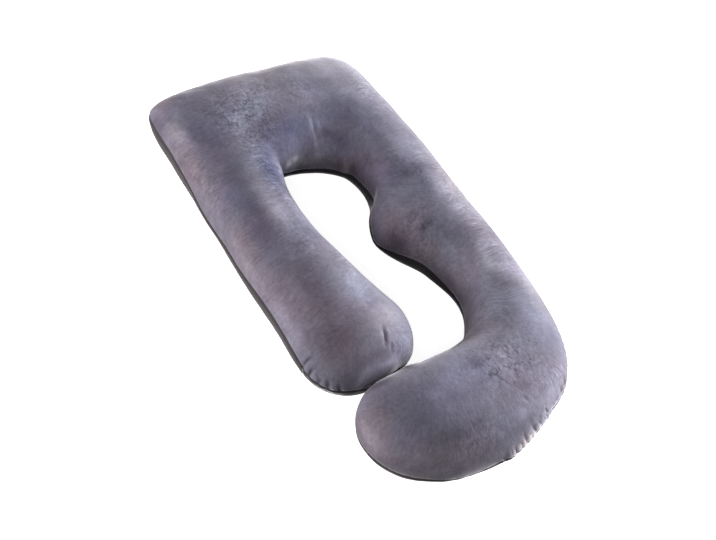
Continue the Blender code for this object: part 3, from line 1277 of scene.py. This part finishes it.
@dataclass
class Cover:
    """The stuffed cover: two plush panels, gathered into one seam."""

    roll: Roll = field(default_factory=Roll)
    finish: Plush = field(default_factory=Plush)
    settling: Settling = field(default_factory=Settling)
    easing: Easing = field(default_factory=Easing)
    tuck_depth: float = 0.0030
    tuck_width: float = 0.0055
    slide_reach: float = 0.105
    slide_steps: int = 5
    slide_evening: int = 60
    least_slide: float = 2e-4
    least_slope: float = 0.05
    hollow_evening: int = 8
    fold_gain: float = 2.2
    fold_least: float = 0.15
    floor_touch: float = 0.0008
    seam_touch: float = 0.001
    seam_shade_width: float = 0.004
    # Where painted shade darkens the underside under the straight arm's end.
    shaded_at: Pair = (-0.250, -0.320)
    shaded_size: Pair = (0.090, 0.070)
    shaded_share: float = 0.6
    lump_scales: Pair = (9.0, 34.0)
    lump_heights: Pair = (0.0028, 0.0005)
    crease_ends: Pair = (0.08, 0.92)
    crease_taper: float = 0.7
    crease_lips: float = 0.3
    crease_lips_width: float = 2.4
    top: np.ndarray = field(init=False)
    seam: SeamLine = field(init=False)

    def build(self) -> bpy.types.Object:
        """Returns:
            The finished piece.
        """
        grid = self.roll.build()
        rows = len(grid)
        base = self.laid(grid)
        mesh = self.mesh(base)
        normals = np.empty(len(base) * 3)
        mesh.vertex_normals.foreach_get("vector", normals)
        normals = normals.reshape(-1, 3)
        puckers, pinch_shade = self.gathers()
        push = self.lumps(base) + puckers + self.creases(base)
        push -= self.tuck_depth * np.exp(-(self.seam.off / self.tuck_width) ** 2)
        resting = base[:, 2] < self.floor_touch
        on_seam = self.seam.off < self.seam_touch
        points = self.rested(base + normals * push[:, None], resting)
        mesh.vertices.foreach_set("co", points.ravel())
        slack = self.slack()
        settled = self.settling.settle(mesh, slack, resting | on_seam)
        eased = np.clip(slack * self.fold_gain, self.fold_least, 1.0)[:, None]
        folds = self.settling.folds(settled - points, rows)
        points = self.rested(points + folds * eased, resting)
        mesh.vertices.foreach_set("co", points.ravel())
        mesh.update()
        # Painted shade along the seam and in the pinches, with painted highlight on the lips between
        # pinches.
        seam_shade = np.exp(-(self.seam.off / self.seam_shade_width) ** 2) + pinch_shade
        kept = {
            # fold: drives painted shade in hollows and painted highlight on bumps.
            "fold": self.hollows(points, normals, rows),
            **self.ruffled(base),
            # inside: the share of painted shade on the underside.
            "inside": self.inside(base, rows),
            # nap and nap_hue: the laid nap with painted shade and painted highlights.
            **self.nap(base),
            "seam_along": self.seam.along,
            "seam_off": self.seam.off,
            "seam_shade": seam_shade,
            "under_panel": np.where(self.top | on_seam, 0.0, 1.0),
        }
        for name, values in kept.items():
            layer = mesh.attributes.new(name, "FLOAT", "POINT")
            layer.data.foreach_set("value", values.astype(np.float32))
        mesh.shade_smooth()
        mesh.materials.append(self.finish.build())
        cover = bpy.data.objects.new("pillow_cover", mesh)
        bpy.context.collection.objects.link(cover)
        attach(cover, BODY)
        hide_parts(self.roll.node)
        LOG.info("pillow_cover: %d faces", len(mesh.polygons))
        return cover

    def laid(self, grid: np.ndarray) -> np.ndarray:
        """Lay the cloth on the roll and measure its seam.

        Args:
            grid: The roll's rings.

        Returns:
            The cover's points before it is gathered.
        """
        rows, around = grid.shape[:2]
        half = around // 2
        order = np.arange(rows * around).reshape(rows, around)
        loop = np.concatenate([[rows * around], order[:, 0], [rows * around + 1], order[::-1, half]])
        over = np.zeros((rows, around), dtype=bool)
        over[:, 1:half] = True
        self.top = np.concatenate([over.ravel(), [False, False]])
        base = self.lowered(self.nudged(self.roll.flat(grid)), loop)
        self.seam = SeamLine(base[loop])
        self.seam.measure(base)
        return base

    @staticmethod
    def nudged(points: np.ndarray) -> np.ndarray:
        """Shift the roll where NUDGES say.

        Args:
            points: The points before.

        Returns:
            The points after.
        """
        moved = points.copy()
        for nudge in NUDGES:
            moved[:, :2] += nearness(points, nudge.at, nudge.size)[:, None] * nudge.move
        return moved

    def lowered(self, points: np.ndarray, loop: np.ndarray) -> np.ndarray:
        """Slide the cloth over the filling until the seam lies where SEAM_RESTS say.

        Args:
            points: The points, with the seam along the fullest line.
            loop: Which of them lie on the seam, in order.

        Returns:
            The points after the slide.
        """
        line = SeamLine(points[loop])
        line.measure(points)
        stops = sorted((line.mark(rest.at), rest.below) for rest in SEAM_RESTS)
        below = np.interp(line.marks[:-1], *np.array(stops).T, period=line.length)
        for _ in range(self.slide_evening):
            below = (np.roll(below, 1) + below + np.roll(below, -1)) / 3.0
        reach = np.clip(line.off / self.slide_reach, 0.0, 1.0)
        slide = np.interp(line.along, line.marks[:-1], below, period=line.length)
        slide *= np.cos(reach * math.pi / 2.0) ** 2
        tree = BVHTree.FromPolygons(points.tolist(), self.roll.faces())
        slid = points.copy()
        for index in np.flatnonzero(np.abs(slide) > self.least_slide):
            place = Vector(points[index])
            for _ in range(self.slide_steps):
                place, normal = tree.find_nearest(place)[:2]
                down = Vector((0.0, 0.0, -1.0)) + normal * normal.z
                if down.length < self.least_slope:
                    break
                place = place + down.normalized() * (slide[index] / self.slide_steps)
            slid[index] = tree.find_nearest(place)[0]
        slid[:, 2] = np.maximum(slid[:, 2], 0.0)
        return slid

    def mesh(self, points: np.ndarray) -> bpy.types.Mesh:
        """Make the closed mesh.

        Args:
            points: Its points.

        Returns:
            The mesh, faces outward.
        """
        mesh = bpy.data.meshes.new("pillow_cover")
        faces = self.roll.faces()
        a, b, c = (points[[f[k] for f in faces]] for k in range(3))
        if np.einsum("ij,ij->i", a, np.cross(b, c)).sum() < 0.0:
            faces = [tuple(reversed(f)) for f in faces]
        mesh.from_pydata(points.tolist(), [], faces)
        mesh.update()
        return mesh

    @staticmethod
    def rested(points: np.ndarray, resting: np.ndarray) -> np.ndarray:
        """Lay points on the floor: the resting ones on it, and none of the others below it.

        Args:
            points: The points, changed in place.
            resting: Which of them rest.

        Returns:
            The points.
        """
        points[:, 2] = np.maximum(points[:, 2], 0.0)
        points[resting, 2] = 0.0
        return points

    def inside(self, points: np.ndarray, rows: int) -> np.ndarray:
        """How much painted shade the underside gets, where it is turned away from the light, into the
        hollow or under the arm's end.

        Args:
            points: The cover's points.
            rows: How many rings there are.

        Returns:
            The share of Plush.shaded at each point, 0 to 1.
        """
        half = self.roll.around // 2
        fade = np.zeros(self.roll.around)
        fade[half:half + half // 2] = np.cos(np.linspace(0.0, np.pi / 2.0, half // 2)) ** 2
        shares = np.concatenate([np.tile(fade, rows), [0.0, 0.0]])
        arm_end = self.shaded_share * nearness(points, self.shaded_at, self.shaded_size)
        return np.maximum(shares, arm_end)

    def slack(self) -> np.ndarray:
        """How much spare cloth each point has: most where the cloth is gathered into the seam.

        Returns:
            The share of Settling.spare_cloth, 0 to 1.
        """
        easing = self.easing
        slack = np.full(len(self.seam.off), easing.least_slack)
        for gather in GATHERS:
            inside = self.seam.run(gather.start, gather.end, easing.slack_beyond, easing.slack_fade)[2]
            reach = easing.slack_start - self.seam.off / (easing.slack_reach * gather.reach)
            slack = np.maximum(slack, gather.slack * inside * np.clip(reach, 0.0, 1.0))
        return slack

    def hollows(self, points: np.ndarray, normals: np.ndarray, rows: int) -> np.ndarray:
        """How far each point lies over (or, less than 0, under) the cloth close round it, in mm.

        Args:
            points: The cover's points.
            normals: Which way is out.
            rows: How many rings there are.

        Returns:
            The heights.
        """
        grid = points[:-2].reshape(rows, -1, 3)
        away = (grid - evened(grid, self.hollow_evening)).reshape(-1, 3)
        height = np.zeros(len(points))
        height[:-2] = MM_PER_M * np.einsum("ij,ij->i", away, normals[:-2])
        return height

    def lumps(self, points: np.ndarray) -> np.ndarray:
        """The unevenness of the filling, broad and small.

        Args:
            points: The cover's points.

        Returns:
            How far each point stands out.
        """
        push = np.zeros(len(points))
        for scale, height in zip(self.lump_scales, self.lump_heights):
            push += height * np.array([noise.noise(p * scale) for p in map(Vector, points)])
        return push

    def side(self, panel: Panel) -> np.ndarray | bool:
        """Which points belong to a panel."""
        return {Panel.TOP: self.top, Panel.UNDER: ~self.top, Panel.BOTH: True}[panel]

    def gathers(self) -> tuple[np.ndarray, np.ndarray]:
        """The puckers along the seam.

        Returns:
            How far each point stands out, and how much painted shade lies in each pinch, with a little
            painted highlight on its lips, 0 to about 1.
        """
        easing, off = self.easing, self.seam.off
        draw = random.Random(easing.seed)
        push, shade = np.zeros(len(off)), np.zeros(len(off))
        for gather in GATHERS:
            ends = gather.start, gather.end
            low, ahead, inside = self.seam.run(*ends, easing.beyond, easing.fade)
            side = self.side(gather.panel)
            swell = easing.puff * gather.depth * inside * np.exp(-((off / gather.reach) ** 2))
            push += np.where(side, swell, 0.0)
            where = gather.spacing * draw.uniform(*easing.first)
            while where < ahead:
                depth = gather.depth * draw.uniform(*easing.depths)
                reach = gather.reach * draw.uniform(*easing.reaches)
                width = gather.spacing * draw.uniform(*easing.widths)
                lean = gather.lean + draw.uniform(*easing.leans)
                past = self.seam.past((low + where) % self.seam.length) - lean * off
                fade = 1.0 - np.exp(-off / easing.seam_hold)
                fade = fade * np.exp(-((off / reach) ** easing.falloff))
                pinch = trough(past, width, easing.lips, easing.lips_width * width)
                push -= np.where(side, depth * pinch * fade, 0.0)
                # Painted shade in each pinch, and a little painted highlight on its lips.
                lips_width = easing.shade_lips_width * width
                line = trough(past, easing.shade_width * width, easing.shade_lips, lips_width)
                shade += np.where(side, depth / easing.deep * line * fade, 0.0)
                where += gather.spacing * draw.uniform(*easing.gaps)
        return push, shade

    def creases(self, points: np.ndarray) -> np.ndarray:
        """The listed creases.

        Args:
            points: The cover's points.

        Returns:
            How far each point stands out.
        """
        push = np.zeros(len(points))
        for crease in CREASES:
            gap = np.full(len(points), np.inf)
            share = np.zeros(len(points))
            legs = len(crease.line) - 1
            for leg, (a, b) in enumerate(zip(crease.line, crease.line[1:])):
                a, run = np.array(a), np.array(b) - np.array(a)
                part = np.clip(((points[:, :2] - a) @ run) / (run @ run), 0.0, 1.0)
                off = np.linalg.norm(points[:, :2] - (a + part[:, None] * run), axis=1)
                better = off < gap
                gap[better] = off[better]
                share[better] = (leg + part[better]) / legs
            taper = np.sin(np.pi * np.clip(share, *self.crease_ends)) ** self.crease_taper
            lips_width = self.crease_lips_width * crease.width
            valley = trough(gap, crease.width, self.crease_lips, lips_width)
            push -= np.where(self.side(crease.panel), crease.depth * valley * taper, 0.0)
        return push

    @staticmethod
    def nap(points: np.ndarray) -> dict[str, np.ndarray]:
        """How light and how blue the patches make the top panel, in doublings: the laid nap, painted
        shade and painted highlights.

        Args:
            points: The cover's points.

        Returns:
            The tone and the hue of each point.
        """
        tone, hue = np.zeros(len(points)), np.zeros(len(points))
        for patch in LIGHT_AND_NAP_PATCHES:
            turn = math.radians(patch.turn_deg)
            away = points[:, :2] - np.array(patch.at)
            x = (away[:, 0] * math.cos(turn) + away[:, 1] * math.sin(turn)) / patch.size[0]
            y = (away[:, 1] * math.cos(turn) - away[:, 0] * math.sin(turn)) / patch.size[1]
            near = np.exp(-(x**2) - y**2 - ((points[:, 2] - patch.height) / patch.tall) ** 2)
            tone += patch.tone * near
            hue += patch.hue * near
        return {"nap": tone, "nap_hue": hue}

    @staticmethod
    def ruffled(points: np.ndarray) -> dict[str, np.ndarray]:
        """How stroked and how crushed RUFFLES leave the nap.

        Args:
            points: The cover's points.

        Returns:
            The two shares of each point, up to 1.
        """
        stroked, crushed = np.zeros(len(points)), np.zeros(len(points))
        for ruffle in RUFFLES:
            near = nearness(points, ruffle.at, ruffle.size)
            stroked += ruffle.stroked * near
            crushed += ruffle.crushed * near
        return {"stroked": np.minimum(stroked, 1.0), "crushed": np.minimum(crushed, 1.0)}


def main() -> None:
    """Build every piece and report it."""
    logging.basicConfig(level=logging.INFO, format="%(name)s: %(message)s")
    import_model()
    Outlook().build()
    Studio().build()
    Cover().build()


if __name__ == "__main__":
    main()
